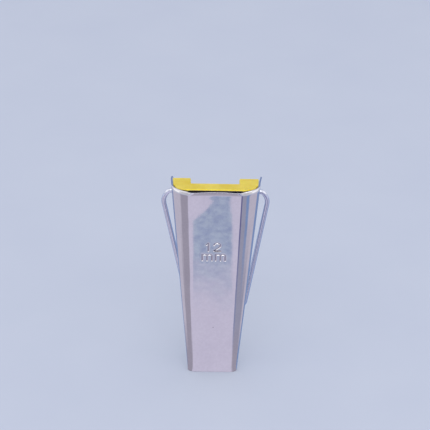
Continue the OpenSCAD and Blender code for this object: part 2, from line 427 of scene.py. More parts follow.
def body_rings():
    """(s, inset) for every ring: rounded rims at both ends and a fine stretch under the size mark."""
    r = RIM
    rings = [(0.0, r)]
    rings += [(r * (1 - math.sin(a)), r * (1 - math.cos(a))) for a in np.radians([60, 38, 18, 0])]
    s = [0.19, 0.28, 0.4, 0.52, 0.64, 0.76, 0.88, 1.0, 1.15, 1.35, 1.6, 1.9, 2.3, 2.8, 3.3, 3.8]
    s += list(np.arange(4.6, 16.0, 1.0))
    s += [16.3] + list(np.arange(16.6, 23.35, 0.07)) + [23.6]
    s += list(np.arange(24.4, 61.2, 1.15))
    s += [61.9, 62.1, 62.22]
    rings += [(v, 0.0) for v in s]
    rings += [
        (BODY_LEN - r * (1 - math.sin(a)), r * (1 - math.cos(a)))
        for a in np.radians([0, 18, 38, 60])
    ]
    rings.append((BODY_LEN, r))
    return rings


def wave(x, y, s):
    """Slight waviness that pressing leaves in thin sheet, never outward."""
    w = 0.5 * noise3(x / 9 + 3.1, y / 9 + 1.7, s / 17 + 5.2, 3)
    w = w + 0.22 * noise3(x / 3.8 + 9.4, y / 3.8 + 4.1, s / 8 + 2.6, 5)
    return 0.017 * (1 + w) * smooth((s - 0.2) / 2.5)


CROWN = 0.19  # the middle of the mouth's front edge stands this much above the drawn length


def body_points(s0, inset):
    s = np.full(N_LOOP, float(s0))
    for _ in range(3):
        x, y, nx, ny, off, dl = base_point(s, inset)
        # The blank's corner is rounded off at the wall's tip, and the front edge of the mouth is slightly arched.
        c = np.clip((0.45 - dl) / 0.45, 0, 1)
        tip = 0.45 * (1 - np.sqrt(1 - c * c * 0.995))
        arch = 0.30 * np.clip(np.abs(x) / 5.6, 0, 1) ** 2 * (1 - 0.8 * smooth((np.abs(x) - 8.8) / 3.8))
        fade = np.clip(1 - s0 / 6, 0, 1) ** 2
        rise = BODY_LEN - s0
        low = 0.9 * (1 - np.sqrt(1 - np.clip((0.9 - dl) / 0.9, 0, 1) ** 2 * 0.995))
        lip = np.where(LAYER == 0, rim_size(x, y), 0.06)
        if s0 <= RIM:
            start = lip * s0 / RIM
        elif s0 < 1.15:
            start = lip + (s0 - RIM) * (1.15 - lip) / (1.15 - RIM)
        else:
            start = s0
        skew = 0.17 * clamp01(x * SIDE / 13)
        s = start + np.maximum(tip + arch - CROWN - skew, -0.19) * fade - low * np.clip(1 - rise / 4, 0, 1) ** 2
    x, y, nx, ny, off, dl = base_point(s, inset)
    if s0 <= RIM and inset > 0:
        full = (KIND != "edge") & (LAYER == 0)
        off = np.where(full, inset * lip / RIM, off)
        full = (KIND != "edge") & (LAYER == 1)
        off = np.where(full, SHEET - inset * lip / RIM, off)
    # The last millimetre at the mouth turns in a little, as a drawn edge does.
    # It turns in further where it is drawn round the corners, and nearly meets the guide there.
    corner = smooth((np.abs(x) - 6.6) / 1.4) * (1 - smooth((y - 2.5) / 2.1))
    bell = lerp(
        0.05 * np.clip(1 - s0 / 1.15, 0, 1) ** 2 * clamp01((9.0 - np.abs(y)) / 9),
        0.30 * np.clip(1 - s0 / 1.05, 0, 1) ** 2.0,
        corner,
    )
    off = off + wave(x * SIDE, y, s) + bell
    sole = (KIND == "sole") & (LAYER == 0)
    off = off + np.where(sole, mark_depth(x * SIDE, s), 0)
    x = x + off * nx
    y = y + off * ny
    x = x + flare(s, y)
    # The walls' free tips lean a little to one side, as hand-set sheet does.
    lean = np.where(SIDE < 0, -0.26 * smooth((y - 8.1) / 1.8), 0.26 * smooth((y - 6.2) / 3.6))
    x = x + lean * (1 - smooth(s / 9))
    return place(x * SIDE, y, s)


def make_body():
    rings = body_rings()
    pts = [body_points(s, d) for s, d in rings]
    verts = np.concatenate(pts)
    k = len(rings)
    faces = loft_faces(k, N_LOOP)
    for j in (0, k - 1):
        o = j * N_LOOP
        right = M_OUT
        inner = M_OUT + len(RIGHT)
        cap = []
        for i in range(M_OUT - 1):
            a, b = o + i, o + i + 1
            c, d = o + inner + (M_OUT - 2 - i), o + inner + (M_OUT - 1 - i)
            cap.append((a, b, c, d))
        cap.append(
            tuple([o + M_OUT - 1] + [o + right + i for i in range(len(RIGHT))] + [o + inner])
        )
        cap.append(
            tuple(
                [o + inner + M_OUT - 1]
                + [o + inner + M_OUT + i for i in range(len(LEFT))]
                + [o]
            )
        )
        faces += cap
    ob = mesh_object("folded_body_sheet", verts, faces, 40)
    wx = float(hw(np.array(PIVOT_S)) + flare(np.array(PIVOT_S), np.array(PIVOT_Y)))
    cut(ob, [drill("hole", m * 11.0, m * 14.5, HOLE_R, m * (wx + 0.02)) for m in (-1, 1)])
    # How deep each point lies in the pressed mark, for the painted shade of the metal there
    co = np.zeros(len(ob.data.vertices) * 3)
    ob.data.vertices.foreach_get("co", co)
    co = co.reshape(-1, 3) * 1000
    deep = mark_depth(co[:, 0], BODY_LEN - co[:, 2]) / MARK_D
    # The foot of the "2" gets the strongest painted shade.
    foot = np.hypot(np.maximum(np.abs(co[:, 0] - 0.84) - 0.86, 0), BODY_LEN - co[:, 2] - 19.66)
    deep = np.maximum(np.clip(deep, 0, 1), 2 * (1 - smooth((foot - 0.15) / 0.13)))
    deep = np.where(co[:, 1] < -4.6, deep, 0)
    at = ob.data.attributes.new("pressed", "FLOAT", "POINT")
    at.data.foreach_set("value", deep.astype(np.float32))
    return ob


body_sheet = make_body()


# ---------------------------------------------------------------- guide insert
def g_rail_s(s):
    return smooth((s - BLOCK_LEN) / 3)


def wall_x(s, y, off):
    a, r, w = roll(s), frad(s) - off, hw(s) - off
    ye = fy(s) + r * np.sin(a)
    xe = w - r * (1 - np.cos(a))
    x = np.where(
        y <= fy(s),
        w,
        np.where(
            y < ye,
            w - r + np.sqrt(np.maximum(0, r * r - (y - fy(s)) ** 2)),
            xe - (y - ye) * np.tan(np.minimum(a, math.radians(80))),
        ),
    )
    return x + flare(s, y)


G_OFF = SHEET + SIDE_GAP
G_BOT = SHEET + GAP


def g_rail_y(s):
    return np.minimum(dep(s) - 1.4, fy(s) + (frad(s) - G_OFF) * np.sin(roll(s)))


def g_top(s):
    return lerp(dep(s) - 1.4, g_rail_y(s), g_rail_s(s))


def g_floor(s):
    return np.minimum(G_BOT + FLOOR_T, dep(s) - 1.4)


def g_tip(s):
    u = clamp01((s - (TONGUE - 5)) / 5)
    return 1 - 0.34 * (1 - np.sqrt(1 - u * u * 0.98))


def g_wall_off(s, y):
    near = lerp(G_OFF, SHEET + BLOCK_GAP, smooth((y - 3.9) / 0.9))
    return lerp(near, G_OFF, g_rail_s(s))


def g_side(s, v):
    y = lerp(shd(s) + 0.05, g_top(s), v)
    return wall_x(s, y, g_wall_off(s, y)), y


def g_shoulder(s, u):
    x, y, nx, ny = shoulder(s, u)
    o = lerp(G_BOT, G_OFF, smooth(u * 2))
    return x + o * nx, y + o * ny


def round_corner(p, q, r, n):
    """Points of a small round that replaces corner q between p and r."""
    return [
        ((1 - t) ** 2 * p[0] + 2 * t * (1 - t) * q[0] + t * t * r[0],
         (1 - t) ** 2 * p[1] + 2 * t * (1 - t) * q[1] + t * t * r[1])
        for t in np.linspace(0, 1, n)
    ]


def toward(p, q, d):
    """The point a distance d from p towards q."""
    l = max(math.hypot(q[0] - p[0], q[1] - p[1]), 1e-9)
    d = min(d, 0.45 * l)
    return (p[0] + (q[0] - p[0]) * d / l, p[1] + (q[1] - p[1]) * d / l)


def guide_half(s):
    """Outline of the right half of the moulding at s, from the middle of its sole side round to the
    middle of its trough floor, with every corner rounded. Same number of points at every s."""
    s = np.array(float(s))
    h, top = float(hf(s)), float(g_top(s))
    k = float(g_tip(s))
    pts = [(x, G_BOT) for x in np.linspace(0, h - 0.35, 18)]
    sh = [tuple(map(float, g_shoulder(s, np.array(u)))) for u in np.linspace(0, 1, 19)[1:]]
    pts += [(x, min(y, top)) for x, y in sh]
    sd = [tuple(map(float, g_side(s, np.array(v)))) for v in np.linspace(0, 1, 29)[1:]]
    q = sd[-1]
    xi = float(
        lerp(TROUGH_W / 2, wall_x(s, np.array(top), G_OFF) - RAIL_W, g_rail_s(s))
    )
    yf = BAR_D if s < BAR_LEN + 0.02 else min(float(g_floor(s)), top - 0.22)
    inner, foot = (xi, top), (xi, yf)
    # The side line stops where the outer corner's round begins.
    side = resample([pts[-1]] + sd, 29, 0.40)[1:]
    a = side[-1]
    pts += side
    top_len = max(q[0] - inner[0], 0.05)
    e = min(0.4, 0.42 * top_len)
    pts += round_corner(a, q, (q[0] - e, top), 7)[1:]
    pts += [(x, top) for x in np.linspace(q[0] - e, inner[0] + e, 7)[1:]]
    e2 = min(0.4, 0.42 * (top - yf))
    pts += round_corner((inner[0] + e, top), inner, (inner[0], top - e2), 7)[1:]
    pts += [(inner[0], y) for y in np.linspace(top - e2, yf + e2, 9)[1:]]
    e3 = min(0.45, 0.42 * (top - yf))
    pts += round_corner((inner[0], yf + e2), foot, (inner[0] - e3, yf), 7)[1:]
    pts += [(x, yf) for x in np.linspace(inner[0] - e3, 0, 20)[1:]]
    return np.array([(x * k, y) for x, y in pts])


def resample(line, n, short=0.0):
    """n even points along a polyline, which stop short of its end, by at most 0.42 of its length."""
    p = np.array(line, float)
    d = np.concatenate([[0], np.cumsum(np.hypot(*np.diff(p, axis=0).T))])
    t = np.linspace(0, d[-1] - min(short, 0.42 * d[-1]), n)
    return [(float(np.interp(v, d, p[:, 0])), float(np.interp(v, d, p[:, 1]))) for v in t]


def guide_ring(s, inset=0.0):
    """Closed outline at s, moved inward by the inset for the rounded ends."""
    h = guide_half(max(0.0, s))
    n = len(h)
    # Relief behind the front edge, so that the fabric runs in freely.
    pocket = 2.1 * smooth((s - 0.06) / 0.62) * (1 - smooth((s - 1.7) / 0.9))
    bottom = np.zeros(n)
    bottom[:18] = 1
    bottom[18:26] = np.linspace(1, 0, 8)
    h = h.copy()
    h[:, 1] += pocket * bottom
    loop = np.concatenate([h[::-1] * [-1, 1], h[1:]])[:-1]
    soft = bottom.copy()
    soft[18:34] = 1.25
    soft[34:56] = np.linspace(1.25, 0, 22)
    wide = np.concatenate([soft[::-1], soft[1:]])[:-1]
    # The trough is moulded slightly off centre.
    inner = np.concatenate([np.zeros(70), np.linspace(0, 1, 7)[1:], np.ones(n - 76)])
    inner = np.concatenate([inner[::-1], inner[1:]])[:-1]
    loop[:, 0] -= 0.2 * inner * (1 - smooth((s - 5.0) / 4.0)) * (1 - g_rail_s(s))
    if inset > 0 and s > TONGUE - 1:
        # The thin tip of the tongue is rounded by drawing its outline in towards the middle.
        mid = np.array([0.0, (loop[:, 1].min() + loop[:, 1].max()) / 2])
        half = np.abs(loop - mid).max(axis=0)
        return mid + (loop - mid) * (1 - np.minimum(inset * np.array([0.8, 0.6]), 0.45 * half) / half)
    if inset > 0:
        nxt, prv = np.roll(loop, -1, 0), np.roll(loop, 1, 0)
        t = nxt - prv
        t /= np.maximum(np.hypot(t[:, 0], t[:, 1]), 1e-9)[:, None]
        # The outline runs counter-clockwise seen from the mouth side of +s, so its inside is on the left.
        nrm = np.stack([-t[:, 1], t[:, 0]], -1)
        loop = loop + nrm * (inset * (0.42 + 0.58 * wide))[:, None]
    return loop


def guide_stations():
    r = 0.5
    out = [(-PROUD, r * 1.14)]
    out += [(-PROUD + r * (1 - math.cos(b)), r * (1 - math.sin(b))) for b in np.radians([0, 12, 24, 36, 50, 64, 77, 90])]
    out += [(v, 0.0) for v in (0.4, 0.5, 0.6, 0.72, 0.86, 1.0, 1.3, 1.7, 1.9, 2.1, 2.3, 2.45, 2.59)]
    out += [(v, 0.0) for v in (2.66, 3.0, 3.6, 4.4, 5.2, 5.8, 6.2, 6.6, 7.0, 7.4, 7.8, 8.2, 8.6, 9.0)]
    out += [(v, 0.0) for v in np.arange(9.8, 47.1, 1.1)]
    out += [(v, 0.0) for v in (47.6, 48.4, 49.2, 50, 50.7, 51.3, 51.8, 52.2, 52.5)]
    out += [(52.5 + 0.5 * math.sin(b), 0.22 * (1 - math.cos(b))) for b in np.radians([25, 50, 75, 88])]
    return out


def make_guide():
    st = guide_stations()
    rings = [guide_ring(s, d) for s, d in st]
    n = len(rings[0])
    verts = np.concatenate([place(r[:, 0], r[:, 1], np.full(n, s)) for r, (s, d) in zip(rings, st)])
    k = len(rings)
    faces = loft_faces(k, n)
    faces.append(tuple(range(n)))
    faces.append(tuple(reversed(range((k - 1) * n, k * n))))
    ob = mesh_object("guide_insert_moulding", verts, faces, 30)
    # Awl slot with a small bevel at the trough floor
    z0, z1 = BODY_LEN - 9.5, BODY_LEN - 26.0
    outline = []
    for a in np.radians(np.linspace(0, 180, 24)):
        outline.append((math.cos(a), z0, math.sin(a)))
    for a in np.radians(np.linspace(180, 360, 24)):
        outline.append((math.cos(a), z1, math.sin(a)))
    verts = []
    rr = AWL_W / 2
    levels = [(0.0, rr), (G_BOT + 0.15, rr), (G_BOT + FLOOR_T - 0.22, rr), (G_BOT + FLOOR_T + 0.4, rr + 0.62)]
    for y, r in levels:
        for c, zc, sn in outline:
            verts.append((c * r * 0.001, (y - MOUTH_D / 2) * 0.001, (zc + sn * r) * 0.001))
    m = len(outline)
    f = loft_faces(len(levels), m)
    f.append(tuple(range(m)))
    f.append(tuple(reversed(range((len(levels) - 1) * m, len(levels) * m))))
    slot = mesh_object("slot_cut", verts, f)
    bores = [drill("bore", m_ * (PIN_X - 0.3), m_ * 16.0, BORE_R, turn=0.7) for m_ in (-1, 1)]
    cut(ob, [slot] + bores)
    return ob


guide = make_guide()


# ---------------------------------------------------------------- wire handle
def wire_arc(p, r, turn, n):
    """n points of a bend of radius r from the point p = (x, z, heading), turning right."""
    h0 = math.radians(p[2])
    cx, cz = p[0] + r * math.sin(h0), p[1] - r * math.cos(h0)
    out = []
    for i in range(1, n + 1):
        h = p[2] - turn * i / n
        out.append((cx - r * math.sin(math.radians(h)), cz + r * math.cos(math.radians(h)), h))
    return out


def handle_side(leg):
    """Middle line of the right half of the loop, from the shoulder's start to the closing bar."""
    sb = math.sin(math.radians(SHOULDER_TURN))
    bx = HANDLE_W / 2 - WIRE_R - SHOULDER_R * sb - SWEEP_R * (1 - sb)
    pts = [(bx, 0.0, 0.0)] + wire_arc((bx, 0.0, 0.0), SHOULDER_R, SHOULDER_TURN, 16)
    pts += wire_arc(pts[-1], SWEEP_R, 90 + leg - SHOULDER_TURN, 18)
    x, z, h = pts[-1]
    a = math.radians(leg)
    run = (HANDLE_LEN + z - CORNER_R * (1 - math.sin(a))) / math.cos(a)
    dx, dz = math.cos(math.radians(h)), math.sin(math.radians(h))
    for t in np.linspace(0, 1, 18)[1:]:
        pts.append((x + dx * run * t, z + dz * run * t, h))
    return pts + wire_arc(pts[-1], CORNER_R, 90 - leg, 22)


def handle_path():
    """Middle line of the wire as (x, z, heading), drawn hanging from the pivot."""
    right = handle_side(LEG_CLOSE - LEG_LEAN)
    left = [(-x, z, -360.0 - h) for x, z, h in reversed(handle_side(LEG_CLOSE + LEG_LEAN))]
    start = [(float(x), 0.0, 0.0) for x in np.linspace(PIN_X, right[0][0], 7)[:-1]]
    end = [(float(x), 0.0, -360.0) for x in np.linspace(left[-1][0], -PIN_X, 7)[1:]]
    bar = []
    for t in np.linspace(0, 1, 10)[1:-1]:
        bar.append((lerp(right[-1][0], left[0][0], float(t)), right[-1][1], -180.0))
    return start + right + bar + left + end


def make_wire():
    path = handle_path()
    n = 40
    rings = []
    length = 0.0
    ends = [(0.0, 0.60), (0.03, 0.655), (0.10, 0.69)]
    seq = []
    first, final = path[0], path[-1]
    for d, r in ends:
        seq.append((first[0] + d, first[1], first[2], r))
    seq += [(x, z, h, WIRE_R - 0.003) for x, z, h in path[1:-1]]  # a hair inside the CAD wire's facets
    for d, r in reversed(ends):
        seq.append((final[0] - d, final[1], final[2], r))
    tilt = math.radians(REST_ANGLE)
    verts, along = [], []
    px, pz = seq[0][0], seq[0][1]
    for x, z, h, r in seq:
        length += math.hypot(x - px, z - pz)
        px, pz = x, z
        hr = math.radians(h)
        for i in range(n):
            q = 2 * math.pi * i / n
            lx = x + r * math.cos(q) * math.sin(hr)
            ly = r * math.sin(q)
            lz = z - r * math.cos(q) * math.cos(hr)
            y = ly * math.cos(tilt) - lz * math.sin(tilt)
            zz = ly * math.sin(tilt) + lz * math.cos(tilt)
            verts.append(
                (
                    lx * 0.001,
                    (PIVOT_Y - MOUTH_D / 2 + y) * 0.001,
                    (BODY_LEN - PIVOT_S + zz) * 0.001,
                )
            )
            along.append((length, q))
    k = len(seq)
    faces = loft_faces(k, n)
    faces.append(tuple(range(n)))
    faces.append(tuple(reversed(range((k - 1) * n, k * n))))
    ob = mesh_object("wire_handle_loop", verts, faces, 40)
    return ob


wire = make_wire()


# ---------------------------------------------------------------- materials
def material(name):
    m = bpy.data.materials.new(name)
    m.use_nodes = True
    nt = m.node_tree
    nt.nodes.clear()
    out = nt.nodes.new("ShaderNodeOutputMaterial")
    bsdf = nt.nodes.new("ShaderNodeBsdfPrincipled")
    nt.links.new(bsdf.outputs[0], out.inputs[0])
    return m, nt, bsdf


def add(nt, kind, inputs=None, **props):
    """A node with its properties and inputs set. An input given as a socket is linked."""
    n = nt.nodes.new(kind)
    for k, v in props.items():
        setattr(n, k, v)
    for k, v in (inputs or {}).items():
        s = n.inputs[k]
        if isinstance(v, bpy.types.NodeSocket):
            nt.links.new(v, s)
        else:
            s.default_value = v
    return n


def math_node(nt, op, a, b=0.5, clamp=False):
    n = add(nt, "ShaderNodeMath", {0: a, 1: b}, operation=op, use_clamp=clamp)
    return n.outputs[0]


def coords(nt, scale=(1, 1, 1), loc=(0, 0, 0)):
    """Object coordinates, which are metres, scaled."""
    tc = nt.nodes.new("ShaderNodeTexCoord")
    mp = add(nt, "ShaderNodeMapping", {"Vector": tc.outputs["Object"], "Scale": scale, "Location": loc})
    return mp.outputs[0]


def noise(nt, vec, scale, detail=3.0, rough=0.55):
    n = add(nt, "ShaderNodeTexNoise", {"Vector": vec, "Scale": scale, "Detail": detail, "Roughness": rough})
    return n.outputs["Fac"]


def ramp(nt, fac, stops, interpolation="LINEAR"):
    n = nt.nodes.new("ShaderNodeValToRGB")
    n.color_ramp.interpolation = interpolation
    el = n.color_ramp.elements
    while len(el) > 1:
        el.remove(el[-1])
    el[0].position, el[0].color = stops[0][0], (*stops[0][1], 1)
    for p, c in stops[1:]:
        e = el.new(p)
        e.color = (*c, 1)
    nt.links.new(fac, n.inputs[0])
    return n.outputs[0]


def grey(v):
    return (v, v, v)


def remap(nt, fac, lo, hi, a=0.0, b=1.0):
    n = add(nt, "ShaderNodeMapRange", {0: fac, 1: a, 2: b, 3: lo, 4: hi})
    n.clamp = True
    return n.outputs[0]


def nickel():
    """Bright nickel plate on pressed sheet: even colour with faint clouds, hairlines and small pits, with painted
    shade in the size mark's grooves and on the mouth's sheared edge.
    """
    m, nt, b = material("nickel_sheet")
    v = coords(nt)
    cloud = noise(nt, v, 140, 4, 0.6)
    fine = noise(nt, v, 900, 3, 0.6)
    hair = noise(nt, coords(nt, (5200, 5200, 160)), 1.0, 2, 0.5)
    hair2 = noise(nt, coords(nt, (2600, 2600, 60), (3, 1, 2)), 1.0, 2, 0.5)
    base = ramp(nt, cloud, [(0.3, (0.73, 0.725, 0.755)), (0.7, (0.78, 0.775, 0.795))])
    grain = ramp(nt, noise(nt, v, 1500, 3, 0.6), [(0.36, grey(0.955)), (0.64, grey(1.0))])
    base = add(nt, "ShaderNodeMix", {0: 1.0, 6: base, 7: grain}, data_type="RGBA", blend_type="MULTIPLY").outputs[2]
    pressed = add(nt, "ShaderNodeAttribute", attribute_name="pressed").outputs["Fac"]
    # Painted shade: the base colour darkens towards the floors of the size mark's grooves.
    groove_shade = remap(nt, pressed, 0.0, 1.0, 0.45, 0.98)
    dots = add(nt, "ShaderNodeTexVoronoi", {"Vector": v, "Scale": 420.0, "Randomness": 1.0})
    pick = add(nt, "ShaderNodeSeparateColor", {0: dots.outputs["Color"]}).outputs[0]
    speck = math_node(nt, "MULTIPLY", remap(nt, dots.outputs["Distance"], 1.0, 0.0, 0.03, 0.085), remap(nt, pick, 0.0, 1.0, 0.955, 0.965))
    # Painted shade: where the attribute goes above 1, at the foot of the "2", the metal is darkened further.
    foot_shade = remap(nt, pressed, 0.0, 0.9, 1.05, 1.75)
    dark = math_node(nt, "MAXIMUM", math_node(nt, "MAXIMUM", math_node(nt, "MULTIPLY", groove_shade, 0.36), foot_shade), math_node(nt, "MULTIPLY", speck, 0.7))
    base = add(nt, "ShaderNodeMix", {0: dark, 6: base, 7: (0.10, 0.09, 0.13, 1)}, data_type="RGBA").outputs[2]
    # Painted shade: the sheared edge of the sole at the mouth is painted nearly black towards its inner side, as shade
    # of the slot behind it.
    pos = add(nt, "ShaderNodeSeparateXYZ", {0: v})
    facing = add(nt, "ShaderNodeSeparateXYZ", {0: add(nt, "ShaderNodeTexCoord").outputs["Normal"]})
    cut_edge_shade = math_node(nt, "MULTIPLY", remap(nt, facing.outputs[2], 0.0, 1.0, 0.75, 0.92), remap(nt, pos.outputs[2], 0.0, 1.0, 0.0610, 0.0615))
    across = math_node(nt, "ABSOLUTE", pos.outputs[0])
    inward = math_node(nt, "SUBTRACT", pos.outputs[1], remap(nt, across, 0.0, 0.00045, 0.0070, 0.0086))
    cut_edge_shade = math_node(nt, "MULTIPLY", cut_edge_shade, remap(nt, inward, 0.0, 1.0, -0.00496, -0.00486))
    cut_edge_shade = math_node(nt, "MULTIPLY", cut_edge_shade, remap(nt, across, 1.0, 0.0, 0.0078, 0.0086))
    base = add(nt, "ShaderNodeMix", {0: cut_edge_shade, 6: base, 7: (0.03, 0.025, 0.06, 1)}, data_type="RGBA").outputs[2]
    nt.links.new(base, b.inputs["Base Color"])
    b.inputs["Metallic"].default_value = 1.0
    r = math_node(nt, "ADD", remap(nt, cloud, 0.024, 0.042, 0.3, 0.7), remap(nt, fine, -0.004, 0.010, 0.3, 0.7))
    r = math_node(nt, "ADD", r, math_node(nt, "MULTIPLY", groove_shade, 0.10))
    r = math_node(nt, "ADD", r, math_node(nt, "MULTIPLY", foot_shade, 0.30))
    nt.links.new(r, b.inputs["Roughness"])
    h = math_node(nt, "ADD", math_node(nt, "MULTIPLY", hair, 0.5), math_node(nt, "MULTIPLY", hair2, 0.5))
    bump = add(nt, "ShaderNodeBump", {"Strength": 0.035, "Distance": 0.00002, "Height": h})
    bump2 = add(nt, "ShaderNodeBump", {"Strength": 0.022, "Distance": 0.00008, "Height": fine, "Normal": bump.outputs[0]})
    nt.links.new(bump2.outputs[0], b.inputs["Normal"])
    return m


def plastic():
    """Glossy yellow moulding with a soft surface and slight cloudiness, a painted highlight along the web's front edge
    and painted shade on the underside in the fabric gap.
    """
    m, nt, b = material("yellow_moulding")
    v = coords(nt)
    big = noise(nt, v, 110, 3, 0.6)
    fine = noise(nt, v, 1600, 3, 0.6)
    base = ramp(nt, big, [(0.38, (0.68, 0.53, 0.042)), (0.62, (0.81, 0.675, 0.111))])
    # Painted shade: the underside that faces the fabric gap is painted nearly black, for the deep shade there.
    pos = add(nt, "ShaderNodeSeparateXYZ", {0: v})
    x = math_node(nt, "ABSOLUTE", pos.outputs[0])
    # Painted highlight: the web's front edge, just behind the mouth, is painted a brighter, deeper yellow.
    edge = math_node(nt, "MULTIPLY", remap(nt, pos.outputs[1], 1.0, 0.0, -0.0035, -0.0029), remap(nt, pos.outputs[2], 0.0, 1.0, 0.0615, 0.0620))
    base = add(nt, "ShaderNodeMix", {0: edge, 6: base, 7: (0.93, 0.72, 0.035, 1)}, data_type="RGBA").outputs[2]
    under = remap(nt, pos.outputs[2], 1.0, 0.0, 0.06250, 0.06262)
    under = math_node(nt, "MULTIPLY", under, remap(nt, pos.outputs[2], 0.0, 1.0, 0.0540, 0.0570))
    deep = remap(nt, pos.outputs[1], 1.0, 0.0, -0.0030, -0.0026)
    web = math_node(
        nt, "MULTIPLY", remap(nt, pos.outputs[1], 1.0, 0.0, -0.0017, -0.0012), remap(nt, pos.outputs[2], 0.0, 1.0, 0.0600, 0.0604)
    )
    side = remap(nt, x, 1.0, 0.0, 0.0074, 0.0082)
    shade = math_node(nt, "MULTIPLY", math_node(nt, "MULTIPLY", under, math_node(nt, "MAXIMUM", deep, web)), side)
    mix = add(nt, "ShaderNodeMix", {0: shade, 6: base, 7: (0.030, 0.024, 0.055, 1)}, data_type="RGBA")
    nt.links.new(mix.outputs[2], b.inputs["Base Color"])
    nt.links.new(remap(nt, fine, 0.30, 0.42, 0.3, 0.7), b.inputs["Roughness"])
    b.inputs["IOR"].default_value = 1.5
    b.inputs["Subsurface Weight"].default_value = 0.25
    b.inputs["Subsurface Radius"].default_value = (0.0012, 0.0009, 0.0002)
    b.inputs["Subsurface Scale"].default_value = 1.0
    bump = add(nt, "ShaderNodeBump", {"Strength": 0.10, "Distance": 0.00003, "Height": fine})
    nt.links.new(bump.outputs[0], b.inputs["Normal"])
    return m


def wire_metal():
    """Bright drawn wire: fine lines along its length."""
    m, nt, b = material("bright_wire")
    v = coords(nt)
    fine = noise(nt, v, 1400, 3, 0.6)
    line = noise(nt, coords(nt, (4000, 4000, 120)), 1.0, 2, 0.5)
    base = ramp(nt, fine, [(0.3, (0.68, 0.71, 0.80)), (0.7, (0.78, 0.80, 0.88))])
    nt.links.new(base, b.inputs["Base Color"])
    b.inputs["Metallic"].default_value = 1.0
    nt.links.new(remap(nt, fine, 0.11, 0.17, 0.3, 0.7), b.inputs["Roughness"])
    bump = add(nt, "ShaderNodeBump", {"Strength": 0.05, "Distance": 0.00002, "Height": line})
    nt.links.new(bump.outputs[0], b.inputs["Normal"])
    return m


for ob, mat, body, node, slot in (
    (body_sheet, nickel(), "former", "folded_body", "sheet"),
    (guide, plastic(), "former", "guide_insert", "guide"),
    (wire, wire_metal(), "handle", "wire_handle", "wire"),
):
    ob.data.materials.clear()
    ob.data.materials.append(mat)
    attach(ob, body)
    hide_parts(node)
    # The hidden node keeps a fitting finish of its own too.
    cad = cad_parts[node]
    if not cad.material_slots:
        cad.data.materials.append(mat)
    for ms in cad.material_slots:
        ms.material = mat


# ---------------------------------------------------------------- stage
def stage_floor():
    n = 24
    size = 1.6
    g = np.linspace(-size, size, n)
    verts = [(x, y, 0.0) for y in g for x in g]
    faces = [
        (j * n + i, j * n + i + 1, (j + 1) * n + i + 1, (j + 1) * n + i)
        for j in range(n - 1)
        for i in range(n - 1)
    ]
    me = bpy.data.meshes.new("floor")
    me.from_pydata(verts, [], faces)
    ob = bpy.data.objects.new("floor", me)
    bpy.context.scene.collection.objects.link(ob)
    m, nt, b = material("floor_paper")
    v = coords(nt)
    f = noise(nt, v, 30, 3, 0.5)
    base = ramp(nt, f, [(0.3, (0.52, 0.57, 0.68)), (0.7, (0.535, 0.585, 0.69))])
    nt.links.new(base, b.inputs["Base Color"])
    b.inputs["Roughness"].default_value = 0.9
    b.inputs["Specular IOR Level"].default_value = 0.1
    me.materials.append(m)
    return ob


floor = stage_floor()


def area_light(name, loc, target, size, power, colour):
    d = bpy.data.lights.new(name, "AREA")
    d.shape = "RECTANGLE"
    d.size, d.size_y = size
    d.energy = power
    d.color = colour
    o = bpy.data.objects.new(name, d)
    bpy.context.scene.collection.objects.link(o)
    o.location = loc
    direction = Vector(target) - Vector(loc)
    o.rotation_euler = direction.to_track_quat("-Z", "Y").to_euler()
    return o


def lin(r, g, b):
    """Linear colour from an 8-bit one."""
    return tuple((c / 3294.6) if c <= 10.31 else ((c / 255 + 0.055) / 1.055) ** 2.4 for c in (r, g, b))


def bands(nt, angle, stops, gain):
    """Colour ramp over an angle in degrees from -180 to 180."""
    el = [((a + 180) / 360, tuple(gain * c for c in lin(*rgb))) for a, rgb in stops]
    return ramp(nt, angle, el)


